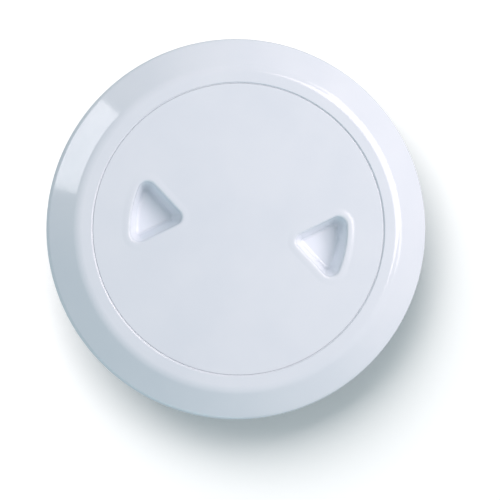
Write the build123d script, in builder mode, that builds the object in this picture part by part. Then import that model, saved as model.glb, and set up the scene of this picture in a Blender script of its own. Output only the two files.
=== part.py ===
from build123d import *
import os
from math import asin, atan2, cos, hypot, radians, sin, sqrt, tan

# Screw-out inspection port for a flat panel, in millimetres.
# +Z points out of the panel and z = 0 is the panel's face. The finger
# recesses of the lid lie along X when the lid is screwed home.

# Driving dimensions: mounting ring
opening_d = 101.6
collar_wall = 3.0
collar_depth = 26.0
flange_t = 3.0

# Driving dimensions: gasket and screws
gasket_t = 1.5
gasket_gap = 1.5
gasket_margin = 1.0
screw_count = 4
screw_head_d = 8.0
screw_head_h = 1.2
screw_shank_d = 4.4
screw_thread_d = 4.0
screw_reach = 15.0
screw_gap = 0.25
head_gap = 0.1
head_side_gap = 0.7

# Driving dimensions: coarse thread
thread_pitch = 5.0
thread_turns = 1.25
thread_height = 1.5
thread_root_w = 2.2
thread_crest_w = 1.0
thread_sink = 0.5
thread_gap = 0.35
flank_gap = 0.35
thread_top_gap = 0.5

# Driving dimensions: lid
lid_t = 3.0
lid_drop = 0.3
lid_overhang = 6.65
skirt_wall = 2.2
skirt_end = 1.0
pocket_depth = 10.0
pocket_draft = 18.0
pocket_length = 22.8
pocket_half_width = 13.7
pocket_corner_r = 4.5
pocket_apex_r = 4.0
pocket_rim = 0.8
pocket_inset = 1.35
pocket_wall = 2.2
rib_t = 2.0
rib_height = 6.0
rib_angles = (45, 90, 135)
hub_r = 8.0

# Driving dimensions: seal
seal_w = 4.6
seal_gap = 0.25
seat_gap = 0.3

# Driving dimensions: trim ring
trim_rise = 6.5
trim_wall = 2.0
seam_gap = 0.4
flat_w = 6.3
bevel_w = 12.85
bevel_angle = 30.0
bevel_ease = 1.1
rim_ease = 1.5
foot_gap = 0.4
cover_gap = 0.32
hook_arc = 14.0
hook_wall = 1.5
hook_gap = 0.3
hook_bite = 0.8
hook_play = 0.2
hook_edge = 0.3
hook_sink = 0.6

# Levels
flange_z = gasket_t
flange_top = flange_z + flange_t
port_top = flange_top + trim_rise
lid_top = port_top - lid_drop
disc_z = lid_top - lid_t
seal_h = disc_z - seal_gap - seat_gap - flange_top

# Radii, from the opening outwards
opening_r = opening_d / 2
collar_inner_r = opening_r + thread_height
collar_outer_r = collar_inner_r + collar_wall
skirt_r = opening_r - thread_gap
skirt_inner_r = skirt_r - skirt_wall
seal_inner_r = skirt_r + seal_gap
lid_r = collar_outer_r + lid_overhang
trim_inner_r = lid_r + seam_gap
lip_outer_r = trim_inner_r + trim_wall
bevel_start_r = trim_inner_r + flat_w
trim_outer_r = bevel_start_r + bevel_w

# Underside of the trim ring's bevel, and the flange that it leaves room for
bevel_slope = tan(radians(bevel_angle))
bevel_foot_z = port_top - bevel_slope * bevel_w
bevel_under_z = port_top - trim_wall / cos(radians(bevel_angle))
bevel_under_r = bevel_start_r - trim_wall * tan(radians(bevel_angle) / 2)
flange_r = bevel_start_r + (bevel_under_z - flange_top - cover_gap) / bevel_slope
rim_inner_r = trim_outer_r - trim_wall

# Screws and gasket
screw_start = 180.0 / screw_count
screw_head_r = screw_head_d / 2
screw_circle_r = lip_outer_r + head_side_gap + screw_head_r
screw_shank_r = screw_shank_d / 2
screw_thread_r = screw_thread_d / 2
screw_hole_r = screw_shank_r + screw_gap
gasket_inner_r = collar_outer_r + gasket_gap
gasket_outer_r = screw_circle_r - screw_hole_r - gasket_margin

# Thread: the lid's ridge pulls up against the collar's, one flank gap below it
thread_length = thread_turns * thread_pitch
thread_sunk_w = thread_crest_w + (thread_root_w - thread_crest_w) * (thread_height + thread_sink) / thread_height
collar_thread_z = flange_top - thread_top_gap - thread_root_w / 2 - thread_length
thread_overlap = (thread_height + thread_gap) / (2 * thread_height)
flank_step = thread_root_w - (thread_root_w - thread_crest_w) * thread_overlap
lid_thread_z = collar_thread_z - flank_step - flank_gap
skirt_bottom = lid_thread_z - thread_root_w / 2 - skirt_end

# Finger recess: a three-sided outline with one side on the lid's own circle,
# set out from the rounded corners that show and then brought back to sharp ones
pocket_r = skirt_inner_r - pocket_inset
corner_y = pocket_half_width - pocket_corner_r
corner_x = sqrt((pocket_r - pocket_corner_r) ** 2 - corner_y**2)
apex_x = pocket_r - pocket_length + pocket_apex_r
apex_run = hypot(corner_x - apex_x, corner_y)
side_angle = atan2(corner_y, corner_x - apex_x) + asin((pocket_corner_r - pocket_apex_r) / apex_run)
pocket_tip_x = apex_x - pocket_apex_r / sin(side_angle)


def at(vertices, x, y):
    """The profile's vertex at one point of its sketch plane."""
    return vertices.sort_by_distance((x, y, 0))[0]


def radial_plane(angle):
    """A plane through the axis whose x runs outwards at an angle and whose y runs up."""
    turn = radians(angle)
    return Plane(origin=(0, 0, 0), x_dir=(cos(turn), sin(turn), 0), z_dir=(sin(turn), -cos(turn), 0))


def thread_ridge(root_r, start_z, side):
    """One right-hand ridge on a wall: side 1 stands outwards, side -1 inwards."""
    with BuildLine() as path:
        Helix(thread_pitch, thread_length, root_r, center=(0, 0, start_z))
    start = Plane(origin=(root_r, 0, start_z), x_dir=(side, 0, 0), z_dir=(0, -side, 0))
    with BuildSketch(start) as section:
        with BuildLine():
            Polyline(
                (-thread_sink, -thread_sunk_w / 2),
                (thread_height, -thread_crest_w / 2),
                (thread_height, thread_crest_w / 2),
                (-thread_sink, thread_sunk_w / 2),
                close=True,
            )
        make_face()
    sweep(section.sketch, path=path.wire(), is_frenet=True)


def pocket_outline(grow):
    """The finger recess seen from above, with all sides moved outwards by one length."""
    outer_r = pocket_r + grow
    tip_x = pocket_tip_x - grow / sin(side_angle)
    side_run = sqrt(outer_r**2 - (tip_x * sin(side_angle)) ** 2) - tip_x * cos(side_angle)
    x, y = tip_x + side_run * cos(side_angle), side_run * sin(side_angle)
    with BuildLine() as sides:
        Line((tip_x, 0), (x, y))
        ThreePointArc((x, y), (outer_r, 0), (x, -y))
        Line((x, -y), (tip_x, 0))
    face = make_face(sides.edges())
    fillet(at(face.vertices(), tip_x, 0), pocket_apex_r + grow)
    fillet([at(face.vertices(), x, y), at(face.vertices(), x, -y)], pocket_corner_r + grow)


def pocket_plane(side):
    """The lid's top looking down, with x towards one finger recess: side 1 at +X, side -1 at -X."""
    return Plane(origin=(0, 0, lid_top), x_dir=(side, 0, 0), z_dir=(0, 0, -1))


# Fixed base: collar through the panel, and the flange with its screw holes
with BuildPart() as mounting_ring:
    with BuildSketch(Plane.XZ):
        with BuildLine():
            Polyline(
                (collar_inner_r, -collar_depth),
                (collar_inner_r, flange_top),
                (flange_r, flange_top),
                (flange_r, flange_z),
                (collar_outer_r, flange_z),
                (collar_outer_r, -collar_depth),
                close=True,
            )
        make_face()
    revolve(axis=Axis.Z)
    with Locations((0, 0, flange_top)):
        with PolarLocations(screw_circle_r, screw_count, screw_start):
            Hole(screw_hole_r, depth=flange_t)
    thread_ridge(collar_inner_r, collar_thread_z, -1)
mounting_ring.part.label = "mounting_ring"

# Cover ring: a bevelled shell that hides the screws and snaps under the flange
with BuildPart() as trim_ring:
    with BuildSketch(Plane.XZ) as trim_profile:
        with BuildLine():
            Polyline(
                (trim_inner_r, flange_top),
                (trim_inner_r, port_top),
                (bevel_start_r, port_top),
                (trim_outer_r, bevel_foot_z),
                (trim_outer_r, foot_gap),
                (rim_inner_r, foot_gap),
                (rim_inner_r, bevel_under_z - bevel_slope * (rim_inner_r - bevel_start_r)),
                (bevel_under_r, port_top - trim_wall),
                (lip_outer_r, port_top - trim_wall),
                (lip_outer_r, flange_top),
                close=True,
            )
        make_face()
        chamfer(at(trim_profile.vertices(), bevel_start_r, port_top), bevel_ease)
        chamfer(at(trim_profile.vertices(), trim_outer_r, bevel_foot_z), rim_ease)
    revolve(axis=Axis.Z)
    hook_inner_r = flange_r + hook_gap
    hook_outer_r = hook_inner_r + hook_wall
    hook_root_z = bevel_under_z - bevel_slope * (hook_inner_r - bevel_start_r) + hook_sink
    bead_r = flange_r - hook_bite
    bead_top = flange_z - hook_play
    for hook in range(screw_count):
        with BuildSketch(radial_plane(hook * 360 / screw_count - hook_arc / 2)):
            with BuildLine():
                Polyline(
                    (hook_inner_r, hook_root_z),
                    (hook_outer_r, hook_root_z),
                    (hook_outer_r, foot_gap),
                    (hook_inner_r, foot_gap),
                    (bead_r, bead_top - hook_edge),
                    (bead_r, bead_top),
                    (hook_inner_r, bead_top),
                    close=True,
                )
            make_face()
        revolve(axis=Axis.Z, revolution_arc=hook_arc)
trim_ring.part.label = "trim_ring"

# Lid: disc, threaded skirt, ribs and two closed finger recesses
with BuildPart() as lid:
    with BuildSketch(Plane.XZ):
        with BuildLine():
            Polyline(
                (0, disc_z),
                (0, lid_top),
                (lid_r, lid_top),
                (lid_r, disc_z),
                (skirt_r, disc_z),
                (skirt_r, skirt_bottom),
                (skirt_inner_r, skirt_bottom),
                (skirt_inner_r, disc_z),
                close=True,
            )
        make_face()
    revolve(axis=Axis.Z)
    with BuildSketch(Plane.XY.offset(disc_z)):
        Circle(hub_r)
        for angle in rib_angles:
            Rectangle(2 * skirt_inner_r + skirt_wall, rib_t, rotation=angle)
    extrude(amount=-rib_height)
    for side in (1, -1):
        with BuildSketch(pocket_plane(side)):
            pocket_outline(pocket_wall)
        extrude(amount=pocket_depth + pocket_wall, taper=pocket_draft)
        with BuildSketch(pocket_plane(side)):
            pocket_outline(0)
        extrude(amount=pocket_depth, taper=pocket_draft, mode=Mode.SUBTRACT)
        with BuildSketch(pocket_plane(side)):
            pocket_outline(pocket_rim)
        extrude(amount=2 * pocket_rim, taper=45, mode=Mode.SUBTRACT)
    thread_ridge(skirt_r, lid_thread_z, 1)
lid.part.label = "lid"

# Rubber seal round the skirt, between the disc and the flange
with BuildPart() as lid_seal:
    with BuildSketch(Plane.XZ):
        with Locations((seal_inner_r, flange_top + seat_gap)):
            Rectangle(seal_w, seal_h, align=(Align.MIN, Align.MIN))
    revolve(axis=Axis.Z)
lid_seal.part.label = "lid_seal"

# Flat gasket between the flange and the panel
with BuildPart() as deck_gasket:
    with BuildSketch(Plane.XY):
        Circle(gasket_outer_r)
        Circle(gasket_inner_r, mode=Mode.SUBTRACT)
    extrude(amount=gasket_t)
deck_gasket.part.label = "deck_gasket"


def deck_screw(x, y):
    """A thin-headed screw through the flange, its thread on the panel's side."""
    head_z = flange_top + head_gap
    with BuildPart() as screw:
        with BuildSketch(Plane(origin=(x, y, 0), x_dir=(1, 0, 0), z_dir=(0, -1, 0))):
            with BuildLine():
                Polyline(
                    (0, head_z + screw_head_h),
                    (screw_head_r, head_z + screw_head_h),
                    (screw_head_r, head_z),
                    (screw_shank_r, head_z),
                    (screw_shank_r, 0),
                    (screw_thread_r, 0),
                    (screw_thread_r, -screw_reach),
                    (0, -screw_reach),
                    close=True,
                )
            make_face()
        revolve(axis=Axis((x, y, 0), (0, 0, 1)))
    return screw.part


os.makedirs("parts", exist_ok=True)
export_step(mounting_ring.part, "parts/mounting_ring.step")
export_step(trim_ring.part, "parts/trim_ring.step")
export_step(lid.part, "parts/lid.step")
export_step(lid_seal.part, "parts/lid_seal.step")
export_step(deck_gasket.part, "parts/deck_gasket.step")
for number in range(screw_count):
    turn = radians(screw_start + number * 360 / screw_count)
    screw = deck_screw(screw_circle_r * cos(turn), screw_circle_r * sin(turn))
    screw.label = f"deck_screw_{number + 1}"
    export_step(screw, f"parts/{screw.label}.step")
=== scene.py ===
import math

import bmesh
import bpy
from mathutils import Matrix, Vector


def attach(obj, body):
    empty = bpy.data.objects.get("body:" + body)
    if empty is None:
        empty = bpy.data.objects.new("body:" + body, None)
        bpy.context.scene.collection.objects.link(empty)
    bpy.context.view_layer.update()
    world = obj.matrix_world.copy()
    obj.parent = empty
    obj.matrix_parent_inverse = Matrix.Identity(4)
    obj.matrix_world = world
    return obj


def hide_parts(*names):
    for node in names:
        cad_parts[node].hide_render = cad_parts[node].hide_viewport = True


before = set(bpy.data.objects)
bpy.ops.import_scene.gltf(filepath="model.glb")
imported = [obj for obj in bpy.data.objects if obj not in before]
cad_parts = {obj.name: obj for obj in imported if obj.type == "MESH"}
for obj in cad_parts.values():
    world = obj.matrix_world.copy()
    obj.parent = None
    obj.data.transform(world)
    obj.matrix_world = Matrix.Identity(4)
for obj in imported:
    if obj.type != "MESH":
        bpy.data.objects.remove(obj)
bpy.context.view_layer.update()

MM = 0.001

# Sizes in millimetres, the same as in the part
PORT_TOP = 11.0
LID_TOP = 10.7
DISC_Z = 7.7
FLANGE_TOP = 4.5
FLANGE_Z = 1.5
FLOOR_Z = -26.0
COLLAR_INNER_R = 52.3
COLLAR_OUTER_R = 55.3
FLANGE_R = 75.354
LID_R = 61.95
SKIRT_R = 50.45
SKIRT_INNER_R = 48.25
SKIRT_BOTTOM = -7.26
TRIM_INNER_R = 62.35
LIP_OUTER_R = 64.35
BEVEL_START_R = 68.65
BEVEL_UNDER_R = 68.114
BEVEL_UNDER_Z = 8.6906
TRIM_OUTER_R = 81.47
RIM_INNER_R = 79.5
BEVEL_FOOT_Z = 3.581
FOOT_GAP = 0.4
SEAL_INNER_R = 50.7
SEAL_OUTER_R = 55.3
SEAL_Z = 4.8
SEAL_TOP = 7.45
GASKET_INNER_R = 56.8
GASKET_OUTER_R = 65.6
SCREW_CIRCLE_R = 69.05
SCREW_COUNT = 4
SCREW_START = 45.0
SCREW_HOLE_R = 2.45
SCREW_HEAD_R = 4.0
SCREW_SHANK_R = 2.2
SCREW_THREAD_R = 2.0
SCREW_HEAD_Z = 4.6
SCREW_TOP = 5.8
SCREW_END = -15.0
SCREW_PITCH = 0.7
SCREW_ROOT_R = 1.62
RIB_T = 2.0
RIB_BOTTOM = 1.7
RIB_ANGLES = (45, 90, 135)
HUB_R = 8.0
HOOK_ARC = 14.0
HOOK_INNER_R = 75.654
HOOK_OUTER_R = 77.154
HOOK_ROOT_Z = 5.23
HOOK_BEAD_R = 74.554
HOOK_BEAD_TOP = 1.3
HOOK_BEAD_EDGE = 0.3

# Coarse thread
PITCH = 5.0
TURNS = 1.25
RIDGE_HEIGHT = 1.5
RIDGE_ROOT_W = 2.2
RIDGE_CREST_W = 1.0
RIDGE_SINK = 0.5
COLLAR_THREAD_Z = -3.35
LID_THREAD_Z = -5.16

# Finger recess: arc centres and radii of its outline at the lid's face
POCKET_DEPTH = 10.0
POCKET_WALL = 2.2
POCKET_DRAFT = math.radians(18.0)
POCKET_R = 46.9
CORNER_X = 41.392
CORNER_Y = 9.2
CORNER_R = 4.5
APEX_X = 28.1
APEX_R = 4.0
CORNER_KEEP = 0.2
RIM_INSET = 0.5
RIM_ROUND = 0.9
FLOOR_ROUND = 1.5
SHELL_ROUND = 2.0
LIP_HEIGHT = 0.14
LIP_START = 3.2
LIP_END = 0.6

# Seam: a narrow bead on the trim ring's inner wall, just clear of the lid
BEAD_R = 62.01
BEAD_TOP = 10.52
BEAD_LOW = 9.4

ROUND_SEGMENTS = 224
RIDGE_STEPS = 120


def new_object(name, bm, body, replaced=()):
    """One mesh piece that rides on a CAD body and stands for its nodes."""
    bmesh.ops.remove_doubles(bm, verts=bm.verts, dist=1e-7)
    bmesh.ops.recalc_face_normals(bm, faces=bm.faces)
    mesh = bpy.data.meshes.new(name)
    bm.to_mesh(mesh)
    bm.free()
    mesh.shade_smooth()
    piece = bpy.data.objects.new(name, mesh)
    bpy.context.scene.collection.objects.link(piece)
    weighted = piece.modifiers.new("weighted", "WEIGHTED_NORMAL")
    weighted.weight = 100
    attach(piece, body)
    if replaced:
        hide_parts(*replaced)
    return piece


def round_corners(points, radii, steps=5):
    """A closed profile with its corners rounded: one radius for each point."""
    out = []
    count = len(points)
    for i, radius in enumerate(radii):
        here = Vector(points[i])
        if not radius:
            out.append(here)
            continue
        back = (Vector(points[i - 1]) - here).normalized()
        ahead = (Vector(points[(i + 1) % count]) - here).normalized()
        half = back.angle(ahead) / 2
        reach = radius / math.tan(half)
        centre = here + (back + ahead).normalized() * (radius / math.sin(half))
        start = (here + back * reach - centre).normalized()
        end = (here + ahead * reach - centre).normalized()
        for step in range(steps + 1):
            out.append(centre + start.slerp(end, step / steps) * radius)
    return out


def lathe(bm, profile, a0=0.0, a1=360.0, segments=ROUND_SEGMENTS):
    """A closed profile of (r, z) in mm turned about the axis, with end caps if it isn't a full turn."""
    full = abs(a1 - a0) >= 359.99
    stations = segments if full else segments + 1
    rings = []
    for i in range(stations):
        angle = math.radians(a0 + (a1 - a0) * i / segments)
        c, s = math.cos(angle), math.sin(angle)
        rings.append([bm.verts.new((p[0] * c * MM, p[0] * s * MM, p[1] * MM)) for p in profile])
    pairs = list(zip(rings, rings[1:]))
    if full:
        pairs.append((rings[-1], rings[0]))
    n = len(profile)
    for left, right in pairs:
        for j in range(n):
            k = (j + 1) % n
            bm.faces.new((left[j], right[j], right[k], left[k]))
    if not full:
        bm.faces.new(rings[0])
        bm.faces.new(list(reversed(rings[-1])))
    return rings


def ridge(bm, root_r, start_z, side):
    """One right-hand screw ridge, side 1 outwards and side -1 inwards, with eased crests and ends."""
    sunk = RIDGE_CREST_W + (RIDGE_ROOT_W - RIDGE_CREST_W) * (RIDGE_HEIGHT + RIDGE_SINK) / RIDGE_HEIGHT
    section = round_corners(
        [
            (-RIDGE_SINK, -sunk / 2),
            (RIDGE_HEIGHT, -RIDGE_CREST_W / 2),
            (RIDGE_HEIGHT, RIDGE_CREST_W / 2),
            (-RIDGE_SINK, sunk / 2),
        ],
        [0, 0.3, 0.3, 0],
        3,
    )
    rows = []
    for i in range(RIDGE_STEPS + 1):
        turn = TURNS * i / RIDGE_STEPS
        angle = 2 * math.pi * turn
        ease = min(1.0, 0.25 + 24.0 * min(turn, TURNS - turn))
        row = []
        for radial, axial in section:
            r = root_r + side * (min(radial, RIDGE_HEIGHT * ease))
            z = start_z + turn * PITCH + axial
            row.append(bm.verts.new((r * math.cos(angle) * MM, r * math.sin(angle) * MM, z * MM)))
        rows.append(row)
    n = len(section)
    for a, b in zip(rows, rows[1:]):
        for j in range(n):
            k = (j + 1) % n
            bm.faces.new((a[j], b[j], b[k], a[k]))
    bm.faces.new(rows[0])
    bm.faces.new(list(reversed(rows[-1])))


def block(bm, length, width, low, high, angle, edge=0.35):
    """A rib through the axis with eased edges."""
    corners = round_corners(
        [(-width / 2, low), (width / 2, low), (width / 2, high), (-width / 2, high)],
        [edge, edge, 0, 0],
        3,
    )
    turn = Matrix.Rotation(math.radians(angle), 3, "Z")
    rows = []
    for x in (-length / 2, length / 2):
        rows.append([bm.verts.new(turn @ Vector((x, p[0], p[1])) * MM) for p in corners])
    n = len(corners)
    for j in range(n):
        k = (j + 1) % n
        bm.faces.new((rows[0][j], rows[1][j], rows[1][k], rows[0][k]))
    bm.faces.new(rows[0])
    bm.faces.new(list(reversed(rows[1])))


def recess_loop(bm, side, inset, z):
    """The recess's outline at one inset from its outline at the face, as a loop of vertices."""
    slope = math.atan2(CORNER_Y, CORNER_X - APEX_X)
    slope += math.asin((CORNER_R - APEX_R) / math.hypot(CORNER_X - APEX_X, CORNER_Y))
    side_line = CORNER_R - CORNER_X * math.sin(slope) + CORNER_Y * math.cos(slope) - inset
    shrink = inset * (1 - CORNER_KEEP) if inset > 0 else inset
    corner_r = CORNER_R - shrink
    apex_r = APEX_R - shrink
    outer_r = POCKET_R - inset
    across = side_line - corner_r
    along = math.sqrt((outer_r - corner_r) ** 2 - across**2)
    corner_x = -across * math.sin(slope) + along * math.cos(slope)
    corner_y = across * math.cos(slope) + along * math.sin(slope)
    apex_x = (apex_r - side_line) / math.sin(slope)
    outer_turn = math.atan2(corner_y, corner_x)
    arcs = [
        (corner_x, -corner_y, corner_r, -math.pi / 2 - slope, -outer_turn, 12),
        (0.0, 0.0, outer_r, -outer_turn, outer_turn, 28),
        (corner_x, corner_y, corner_r, outer_turn, math.pi / 2 + slope, 12),
        (apex_x, 0.0, apex_r, math.pi / 2 + slope, 1.5 * math.pi - slope, 14),
    ]
    loop = []
    for cx, cy, radius, start, end, steps in arcs:
        first = 0 if cx else 1
        last = steps if cx else steps - 1
        for i in range(first, last + 1):
            a = start + (end - start) * i / steps
            x, y = cx + radius * math.cos(a), cy + radius * math.sin(a)
            loop.append(bm.verts.new((side * x * MM, y * MM, z * MM)))
    return loop


def bridge(bm, one, two):
    n = len(one)
    for j in range(n):
        k = (j + 1) % n
        bm.faces.new((one[j], one[k], two[k], two[j]))


def loop_edges(bm, loop):
    n = len(loop)
    edges = []
    for j in range(n):
        pair = (loop[j], loop[(j + 1) % n])
        edges.append(bm.edges.get(pair) or bm.edges.new(pair))
    return edges


def circle_loop(bm, radius, z, segments=ROUND_SEGMENTS, centre=(0.0, 0.0)):
    loop = []
    for i in range(segments):
        a = 2 * math.pi * i / segments
        x, y = centre[0] + radius * math.cos(a), centre[1] + radius * math.sin(a)
        loop.append(bm.verts.new((x * MM, y * MM, z * MM)))
    return loop


def fill_plane(bm, loops):
    """A flat face between an outer loop and the holes in it."""
    edges = [e for loop in loops for e in loop_edges(bm, loop)]
    bmesh.ops.triangle_fill(bm, use_beauty=True, use_dissolve=False, edges=edges)


def cup_rows(depth, rim_round, floor_round):
    """(inset, depth) down a recess: rounded rim, drafted wall and rounded floor."""
    s, c = math.sin(POCKET_DRAFT), math.cos(POCKET_DRAFT)
    rows = []
    back = rim_round * (1 - s) / c
    for i in range(7):
        a = (math.pi / 2 - POCKET_DRAFT) * i / 6
        rows.append((-back + rim_round * math.sin(a), rim_round - rim_round * math.cos(a)))
    centre = (floor_round + (depth - floor_round) * s) / c
    for i in range(8):
        a = POCKET_DRAFT + (math.pi / 2 - POCKET_DRAFT) * i / 7
        rows.append((centre - floor_round * math.cos(a), depth - floor_round + floor_round * math.sin(a)))
    return rows


# Lid: disc with two cups, skirt with its screw ridge, ribs and hub
bm = bmesh.new()
edge = []
for i in range(6):
    a = math.pi / 2 * i / 5
    edge.append((LID_R - 0.3 + 0.3 * math.sin(a), LID_TOP - 0.3 + 0.3 * math.cos(a)))
for i in range(4):
    a = math.pi / 2 * i / 3
    edge.append((LID_R - 0.3 + 0.3 * math.cos(a), DISC_Z + 0.3 - 0.3 * math.sin(a)))
edge_loops = [circle_loop(bm, r, z) for r, z in edge]
for upper, lower in zip(edge_loops, edge_loops[1:]):
    bridge(bm, upper, lower)
top_loops = [edge_loops[0]]
under_loops = [edge_loops[-1]]
for side in (1, -1):
    lip = []
    for i in range(9):
        rise = i / 8
        lip.append((-LIP_START + (LIP_START - LIP_END) * rise, LID_TOP + LIP_HEIGHT * rise**2 * (3 - 2 * rise)))
    lean = LIP_HEIGHT * math.tan(POCKET_DRAFT)
    for inset, depth in cup_rows(POCKET_DEPTH + LIP_HEIGHT, RIM_ROUND, FLOOR_ROUND):
        lip.append((inset - lean + RIM_INSET, LID_TOP + LIP_HEIGHT - depth))
    rows = [recess_loop(bm, side, inset, z) for inset, z in lip]
    for a, b in zip(rows, rows[1:]):
        bridge(bm, a, b)
    fill_plane(bm, [rows[-1]])
    top_loops.append(rows[0])
    outer = [(-POCKET_WALL + (LID_TOP - DISC_Z) * math.tan(POCKET_DRAFT), LID_TOP - DISC_Z)]
    for inset, depth in cup_rows(POCKET_DEPTH + POCKET_WALL, RIM_ROUND, SHELL_ROUND)[7:]:
        outer.append((inset - POCKET_WALL, depth))
    shell = [recess_loop(bm, side, inset, LID_TOP - depth) for inset, depth in outer]
    for a, b in zip(shell, shell[1:]):
        bridge(bm, a, b)
    fill_plane(bm, [shell[-1]])
    under_loops.append(shell[0])
fill_plane(bm, top_loops)
fill_plane(bm, under_loops)
skirt = round_corners(
    [(SKIRT_INNER_R, SKIRT_BOTTOM), (SKIRT_R, SKIRT_BOTTOM), (SKIRT_R, DISC_Z + 0.6), (SKIRT_INNER_R, DISC_Z + 0.6)],
    [0.4, 0.6, 0, 0],
    3,
)
lathe(bm, skirt)
ridge(bm, SKIRT_R, LID_THREAD_Z, 1)
for angle in RIB_ANGLES:
    block(bm, 2 * SKIRT_INNER_R + 1.0, RIB_T, RIB_BOTTOM, DISC_Z + 0.3, angle)
hub = round_corners([(0.02, RIB_BOTTOM), (HUB_R, RIB_BOTTOM), (HUB_R, DISC_Z + 0.3), (0.02, DISC_Z + 0.3)], [0, 0.4, 0, 0], 3)
lathe(bm, hub, segments=64)
lid = new_object("lid_cover", bm, "lid_body", ["lid"])

# Trim ring: bevelled shell with softened edges and its clips
bm = bmesh.new()
shell = round_corners(
    [
        (TRIM_INNER_R, FLANGE_TOP),
        (TRIM_INNER_R, BEAD_LOW - 0.4),
        (BEAD_R, BEAD_LOW),
        (BEAD_R, BEAD_TOP),
        (TRIM_INNER_R, BEAD_TOP),
        (TRIM_INNER_R, PORT_TOP),
        (BEVEL_START_R, PORT_TOP),
        (TRIM_OUTER_R, BEVEL_FOOT_Z),
        (TRIM_OUTER_R, FOOT_GAP),
        (RIM_INNER_R, FOOT_GAP),
        (RIM_INNER_R, BEVEL_UNDER_Z - math.tan(math.radians(30)) * (RIM_INNER_R - BEVEL_START_R)),
        (BEVEL_UNDER_R, PORT_TOP - 2.0),
        (LIP_OUTER_R, PORT_TOP - 2.0),
        (LIP_OUTER_R, FLANGE_TOP),
    ],
    [0.2, 0.05, 0.05, 0.06, 0.0, 0.46, 7.5, 2.8, 0.4, 0.2, 0.6, 2.0, 0.6, 0.2],
    7,
)
lathe(bm, shell)
hook = round_corners(
    [
        (HOOK_INNER_R, HOOK_ROOT_Z),
        (HOOK_OUTER_R, HOOK_ROOT_Z),
        (HOOK_OUTER_R, FOOT_GAP),
        (HOOK_INNER_R, FOOT_GAP),
        (HOOK_BEAD_R, HOOK_BEAD_TOP - HOOK_BEAD_EDGE),
        (HOOK_BEAD_R, HOOK_BEAD_TOP),
        (HOOK_INNER_R, HOOK_BEAD_TOP),
    ],
    [0, 0, 0.15, 0.1, 0.1, 0.1, 0.1],
    3,
)
for i in range(SCREW_COUNT):
    middle = i * 360 / SCREW_COUNT
    lathe(bm, hook, middle - HOOK_ARC / 2, middle + HOOK_ARC / 2, 14)
trim = new_object("trim_cover", bm, "frame", ["trim_ring"])

# Mounting ring: collar with its screw ridge, and the flange with its screw holes
bm = bmesh.new()
section = round_corners(
    [
        (COLLAR_INNER_R, FLOOR_Z),
        (COLLAR_OUTER_R, FLOOR_Z),
        (COLLAR_OUTER_R, FLANGE_Z),
        (FLANGE_R, FLANGE_Z),
        (FLANGE_R, FLANGE_TOP),
        (COLLAR_INNER_R, FLANGE_TOP),
    ],
    [0.5, 0.7, 0, 0.3, 0.4, 0.4],
    3,
)
under_start = next(i for i, p in enumerate(section) if abs(p[0] - COLLAR_OUTER_R) < 1e-6 and abs(p[1] - FLANGE_Z) < 1e-6)
loops = [circle_loop(bm, p[0], p[1]) for p in section]
count = len(loops)
flat_top = None
for i in range(count):
    k = (i + 1) % count
    here, there = section[i], section[k]
    level = abs(here[1] - there[1]) < 1e-6 and abs(here[0] - there[0]) > 5
    if not level:
        bridge(bm, loops[i], loops[k])
        continue
    z = here[1]
    holes = []
    for number in range(SCREW_COUNT):
        a = math.radians(SCREW_START + number * 360 / SCREW_COUNT)
        centre = (SCREW_CIRCLE_R * math.cos(a), SCREW_CIRCLE_R * math.sin(a))
        holes.append(circle_loop(bm, SCREW_HOLE_R, z, 40, centre))
    if flat_top is None:
        flat_top = holes
    else:
        for upper, lower in zip(flat_top, holes):
            bridge(bm, upper, lower)
    fill_plane(bm, [loops[i], loops[k]] + holes)
ridge(bm, COLLAR_INNER_R, COLLAR_THREAD_Z, -1)
base = new_object("base_ring", bm, "frame", ["mounting_ring"])

# Seal under the lid and gasket under the flange
bm = bmesh.new()
lathe(bm, round_corners(
    [(SEAL_INNER_R, SEAL_Z), (SEAL_OUTER_R, SEAL_Z), (SEAL_OUTER_R, SEAL_TOP), (SEAL_INNER_R, SEAL_TOP)],
    [0.7, 0.7, 0.7, 0.7],
    5,
))
seal = new_object("seal_ring", bm, "seal_lift", ["lid_seal"])

bm = bmesh.new()
lathe(bm, round_corners(
    [(GASKET_INNER_R, 0), (GASKET_OUTER_R, 0), (GASKET_OUTER_R, FLANGE_Z), (GASKET_INNER_R, FLANGE_Z)],
    [0.25, 0.25, 0.25, 0.25],
    4,
))
gasket = new_object("gasket_ring", bm, "frame", ["deck_gasket"])


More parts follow.
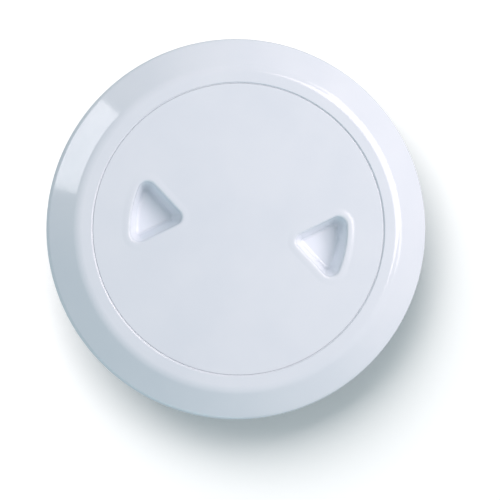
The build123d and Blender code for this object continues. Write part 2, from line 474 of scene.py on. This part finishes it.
def screw_mesh(bm, cx, cy):
    """A screw with a rolled thread, a plain shank and a low domed head."""
    steps_round = 28
    profile = []
    z = SCREW_END
    turns = int((0.0 - SCREW_END) / SCREW_PITCH)
    rings = []
    per_turn = 4
    rows = turns * per_turn
    shape = (0.0, 0.55, 1.0, 0.55)
    rings.append([(SCREW_ROOT_R - 0.25, SCREW_END)] * steps_round)
    for row in range(rows + 1):
        ring = []
        for s in range(steps_round):
            phase = (row / per_turn - s / steps_round) % 1.0
            lift = 1.0 - abs(2 * phase - 1.0)
            fade = min(1.0, max(0.0, row / per_turn / 1.2))
            r = SCREW_ROOT_R + (SCREW_THREAD_R - SCREW_ROOT_R) * lift * fade
            ring.append((r, SCREW_END + 0.15 + (turns * SCREW_PITCH - 0.15) * row / rows))
        rings.append(ring)
    for r, level in (
        (SCREW_THREAD_R, -0.15),
        (SCREW_SHANK_R, 0.1),
        (SCREW_SHANK_R, SCREW_HEAD_Z - 0.2),
        (SCREW_SHANK_R + 0.2, SCREW_HEAD_Z),
        (SCREW_HEAD_R - 0.15, SCREW_HEAD_Z),
        (SCREW_HEAD_R, SCREW_HEAD_Z + 0.15),
        (SCREW_HEAD_R, SCREW_HEAD_Z + 0.45),
        (SCREW_HEAD_R - 0.35, SCREW_TOP - 0.35),
        (SCREW_HEAD_R - 1.1, SCREW_TOP - 0.1),
        (SCREW_HEAD_R - 2.0, SCREW_TOP),
    ):
        rings.append([(r, level)] * steps_round)
    made = []
    for ring in rings:
        row = []
        for s, (r, level) in enumerate(ring):
            a = 2 * math.pi * s / steps_round
            row.append(bm.verts.new(((cx + r * math.cos(a)) * MM, (cy + r * math.sin(a)) * MM, level * MM)))
        made.append(row)
    for a, b in zip(made, made[1:]):
        bridge(bm, a, b)
    bm.faces.new(made[0])
    bm.faces.new(list(reversed(made[-1])))


screws = []
for number in range(SCREW_COUNT):
    a = math.radians(SCREW_START + number * 360 / SCREW_COUNT)
    bm = bmesh.new()
    screw_mesh(bm, SCREW_CIRCLE_R * math.cos(a), SCREW_CIRCLE_R * math.sin(a))
    screws.append(new_object(f"screw_{number + 1}", bm, "frame", [f"deck_screw_{number + 1}"]))


def noise(nodes, links, coords, scale, detail, roughness=0.5):
    node = nodes.new("ShaderNodeTexNoise")
    node.inputs["Scale"].default_value = scale
    node.inputs["Detail"].default_value = detail
    node.inputs["Roughness"].default_value = roughness
    links.new(coords, node.inputs["Vector"])
    return node.outputs["Fac"]


def ramp(nodes, links, source, stops):
    node = nodes.new("ShaderNodeValToRGB")
    ramp_stops = node.color_ramp.elements
    for stop, (place, colour) in zip((ramp_stops[0], ramp_stops[1]), stops):
        stop.position = place
        stop.color = (*colour, 1.0)
    links.new(source, node.inputs["Fac"])
    return node.outputs["Color"]


def spread(nodes, links, source, low, high):
    node = nodes.new("ShaderNodeMapRange")
    node.inputs["From Min"].default_value = 0.3
    node.inputs["From Max"].default_value = 0.7
    node.inputs["To Min"].default_value = low
    node.inputs["To Max"].default_value = high
    links.new(source, node.inputs["Value"])
    return node.outputs["Result"]


def plastic(name, light, dark, gloss, texture, polish=0.0, painted_recess_light=None):
    """Moulded plastic: faint flow clouds in the colour, uneven gloss and a fine moulded skin.

    Under one height its colour can be scaled up by a factor: painted light that lightens the lid's recesses as if more
    light fell into them.
    """
    material = bpy.data.materials.new(name)
    material.use_nodes = True
    nodes, links = material.node_tree.nodes, material.node_tree.links
    shader = nodes["Principled BSDF"]
    coords = nodes.new("ShaderNodeTexCoord").outputs["Object"]
    clouds = noise(nodes, links, coords, 38.0, 3.0)
    colour = ramp(nodes, links, clouds, [(0.34, dark), (0.66, light)])
    # Painted light: under the given height the base colour is scaled up, standing in for light falling into the
    # recesses
    if painted_recess_light:
        height, painted_light_factor = painted_recess_light
        place = nodes.new("ShaderNodeSeparateXYZ")
        links.new(coords, place.inputs[0])
        painted_light_ramp = nodes.new("ShaderNodeMapRange")
        painted_light_ramp.interpolation_type = "SMOOTHSTEP"
        painted_light_ramp.inputs["From Min"].default_value = (height - 0.8) * MM
        painted_light_ramp.inputs["From Max"].default_value = height * MM
        painted_light_ramp.inputs["To Min"].default_value = painted_light_factor
        painted_light_ramp.inputs["To Max"].default_value = 1.0
        links.new(place.outputs["Z"], painted_light_ramp.inputs["Value"])
        painted_light_scaled = nodes.new("ShaderNodeVectorMath")
        painted_light_scaled.operation = "SCALE"
        links.new(colour, painted_light_scaled.inputs[0])
        links.new(painted_light_ramp.outputs["Result"], painted_light_scaled.inputs["Scale"])
        colour = painted_light_scaled.outputs[0]
    links.new(colour, shader.inputs["Base Color"])
    worn = noise(nodes, links, coords, 120.0, 5.0, 0.62)
    links.new(spread(nodes, links, worn, gloss[0], gloss[1]), shader.inputs["Roughness"])
    fine = noise(nodes, links, coords, texture[0], 2.0)
    skin = nodes.new("ShaderNodeBump")
    skin.inputs["Strength"].default_value = texture[1]
    skin.inputs["Distance"].default_value = texture[2] * MM
    links.new(fine, skin.inputs["Height"])
    wave = noise(nodes, links, coords, 22.0, 1.0)
    sink = nodes.new("ShaderNodeBump")
    sink.inputs["Strength"].default_value = 0.35
    sink.inputs["Distance"].default_value = 0.05 * MM
    links.new(wave, sink.inputs["Height"])
    links.new(skin.outputs["Normal"], sink.inputs["Normal"])
    links.new(sink.outputs["Normal"], shader.inputs["Normal"])
    shader.inputs["IOR"].default_value = 1.49
    shader.inputs["Coat Weight"].default_value = polish
    shader.inputs["Coat Roughness"].default_value = 0.04
    return material


def rubber(name, light, dark, gloss, texture):
    """Black rubber: faint bloom in the colour and a pressed or foamed skin."""
    material = bpy.data.materials.new(name)
    material.use_nodes = True
    nodes, links = material.node_tree.nodes, material.node_tree.links
    shader = nodes["Principled BSDF"]
    coords = nodes.new("ShaderNodeTexCoord").outputs["Object"]
    bloom = noise(nodes, links, coords, 90.0, 6.0, 0.6)
    links.new(ramp(nodes, links, bloom, [(0.35, dark), (0.7, light)]), shader.inputs["Base Color"])
    links.new(spread(nodes, links, bloom, gloss[0], gloss[1]), shader.inputs["Roughness"])
    grain = noise(nodes, links, coords, texture[0], 4.0)
    bump = nodes.new("ShaderNodeBump")
    bump.inputs["Strength"].default_value = texture[1]
    bump.inputs["Distance"].default_value = texture[2] * MM
    links.new(grain, bump.inputs["Height"])
    links.new(bump.outputs["Normal"], shader.inputs["Normal"])
    return material


def steel(name):
    """Stainless steel with fine drawn lines and uneven polish."""
    material = bpy.data.materials.new(name)
    material.use_nodes = True
    nodes, links = material.node_tree.nodes, material.node_tree.links
    shader = nodes["Principled BSDF"]
    coords = nodes.new("ShaderNodeTexCoord").outputs["Object"]
    haze = noise(nodes, links, coords, 300.0, 4.0)
    links.new(ramp(nodes, links, haze, [(0.3, (0.50, 0.50, 0.51)), (0.7, (0.64, 0.64, 0.65))]), shader.inputs["Base Color"])
    links.new(spread(nodes, links, haze, 0.22, 0.4), shader.inputs["Roughness"])
    drawn = noise(nodes, links, coords, 2400.0, 3.0)
    bump = nodes.new("ShaderNodeBump")
    bump.inputs["Strength"].default_value = 0.2
    bump.inputs["Distance"].default_value = 0.02 * MM
    links.new(drawn, bump.inputs["Height"])
    links.new(bump.outputs["Normal"], shader.inputs["Normal"])
    shader.inputs["Metallic"].default_value = 1.0
    return material


# The lid's colour is scaled up 1.08 times under 9.5 mm: painted light in its recesses
lid_plastic = plastic("lid_plastic", (0.745, 0.785, 0.835), (0.715, 0.760, 0.815), (0.10, 0.17), (2600.0, 0.12, 0.01), 0.25, (9.5, 1.08))
trim_plastic = plastic("trim_plastic", (0.745, 0.785, 0.835), (0.715, 0.760, 0.815), (0.09, 0.15), (2600.0, 0.10, 0.01), 0.25)
ring_plastic = plastic("ring_plastic", (0.74, 0.77, 0.80), (0.70, 0.73, 0.77), (0.38, 0.52), (3200.0, 0.5, 0.02))
seal_rubber = rubber("seal_rubber", (0.030, 0.030, 0.032), (0.018, 0.018, 0.019), (0.36, 0.5), (1800.0, 0.25, 0.02))
gasket_rubber = rubber("gasket_rubber", (0.055, 0.055, 0.058), (0.030, 0.030, 0.032), (0.7, 0.88), (1500.0, 0.8, 0.08))
screw_steel = steel("screw_steel")
pairs = [
    (lid, lid_plastic),
    (trim, trim_plastic),
    (base, ring_plastic),
    (seal, seal_rubber),
    (gasket, gasket_rubber),
] + [(screw, screw_steel) for screw in screws]
for piece, material in pairs:
    piece.data.materials.clear()
    piece.data.materials.append(material)

# Floor: keeps the object's shadow and otherwise shows as plain white
bm = bmesh.new()
span = 3.0
corners = [bm.verts.new((x * span, y * span, (FLOOR_Z - 0.05) * MM)) for x, y in ((-1, -1), (1, -1), (1, 1), (-1, 1))]
bm.faces.new(corners)
floor_mesh = bpy.data.meshes.new("floor")
bm.to_mesh(floor_mesh)
bm.free()
floor = bpy.data.objects.new("floor", floor_mesh)
bpy.context.scene.collection.objects.link(floor)
paper = bpy.data.materials.new("paper")
paper.use_nodes = True
nodes, links = paper.node_tree.nodes, paper.node_tree.links
shader = nodes["Principled BSDF"]
shader.inputs["Roughness"].default_value = 0.9
shader.inputs["Specular IOR Level"].default_value = 0.1
path = nodes.new("ShaderNodeLightPath")
shade = nodes.new("ShaderNodeMix")
shade.data_type = "RGBA"
plain, seen = [socket for socket in shade.inputs if socket.type == "RGBA"]
plain.default_value = (0.80, 0.80, 0.80, 1)
seen.default_value = (1.36, 1.28, 1.26, 1)
links.new(path.outputs["Is Camera Ray"], shade.inputs[0])
links.new(next(socket for socket in shade.outputs if socket.type == "RGBA"), shader.inputs["Base Color"])
floor.data.materials.append(paper)

# World: plain pale studio, white where the camera sees it
world = bpy.data.worlds.new("studio")
bpy.context.scene.world = world
world.use_nodes = True
nodes, links = world.node_tree.nodes, world.node_tree.links
ambient = nodes["Background"]
ambient.inputs["Color"].default_value = (0.77, 0.94, 1.0, 1)
ambient.inputs["Strength"].default_value = 0.42
white = nodes.new("ShaderNodeBackground")
white.inputs["Color"].default_value = (1, 1, 1, 1)
white.inputs["Strength"].default_value = 1.0
path = nodes.new("ShaderNodeLightPath")
mix = nodes.new("ShaderNodeMixShader")
links.new(path.outputs["Is Camera Ray"], mix.inputs[0])
links.new(ambient.outputs[0], mix.inputs[1])
links.new(white.outputs[0], mix.inputs[2])
links.new(mix.outputs[0], nodes["World Output"].inputs["Surface"])

# Camera: nearly square on, the object's X turned a little in the picture
ROLL = math.radians(-10.3)
TILT = math.radians(5.5)
TILT_TURN = math.radians(178.0)
DISTANCE = 1.0
picture_right = Vector((math.cos(-ROLL), math.sin(-ROLL), 0))
picture_up = Vector((-math.sin(-ROLL), math.cos(-ROLL), 0))
target = (picture_right * 5.0 - picture_up * 8.86 + Vector((0, 0, 7.0))) * MM
lean = picture_right * math.cos(TILT_TURN) + picture_up * math.sin(TILT_TURN)
look_back = (Vector((0, 0, 1)) * math.cos(TILT) + lean * math.sin(TILT)).normalized()
x_axis = picture_up.cross(look_back).normalized()
y_axis = look_back.cross(x_axis)
camera_data = bpy.data.cameras.new("camera")
camera_data.lens = 168.9
camera_data.sensor_width = 36.0
camera_data.clip_end = 20
camera = bpy.data.objects.new("camera", camera_data)
bpy.context.scene.collection.objects.link(camera)
rotation = Matrix((x_axis, y_axis, look_back)).transposed().to_4x4()
camera.matrix_world = Matrix.Translation(target + look_back * DISTANCE) @ rotation
bpy.context.scene.camera = camera


def softbox(name, azimuth, elevation, distance, size, power, colour, lit):
    """A rectangular lamp that lights some objects; azimuth is measured in the picture from its right side."""
    a, e = math.radians(azimuth), math.radians(elevation)
    side = picture_right * math.cos(a) + picture_up * math.sin(a)
    place = (side * math.cos(e) + Vector((0, 0, 1)) * math.sin(e)) * distance
    data = bpy.data.lights.new(name, "AREA")
    data.shape = "RECTANGLE"
    data.size, data.size_y = size
    data.energy = power
    data.color = colour
    lamp = bpy.data.objects.new(name, data)
    bpy.context.scene.collection.objects.link(lamp)
    lamp.matrix_world = Matrix.Translation(place) @ place.to_track_quat("Z", "Y").to_matrix().to_4x4()
    lamp.visible_camera = False
    receivers = bpy.data.collections.new(name + "_lights")
    for thing in lit:
        receivers.objects.link(thing)
    lamp.light_linking.receiver_collection = receivers


# The photo's object is lit from the upper right, but its shadow falls to the lower right
pieces = [piece for piece, material in pairs]
softbox("key_right", 25.0, 55.0, 0.8, (0.5, 0.5), 3.9, (1.0, 0.87, 0.88), pieces)
softbox("fill_right", 22.0, 38.0, 1.6, (1.7, 0.5), 8.5, (1.0, 0.87, 0.88), pieces)
softbox("sky_low", 250.0, 11.0, 1.6, (1.6, 0.25), 3.2, (0.55, 0.9, 1.0), pieces)
softbox("window", 149.0, 28.7, 1.2, (0.63, 0.12), 1.25, (1.0, 0.96, 0.98), pieces)
softbox("key_floor", 119.0, 50.0, 2.4, (1.8, 1.8), 43.0, (1.0, 1.0, 1.0), [floor])

bpy.context.scene.view_settings.view_transform = "Standard"
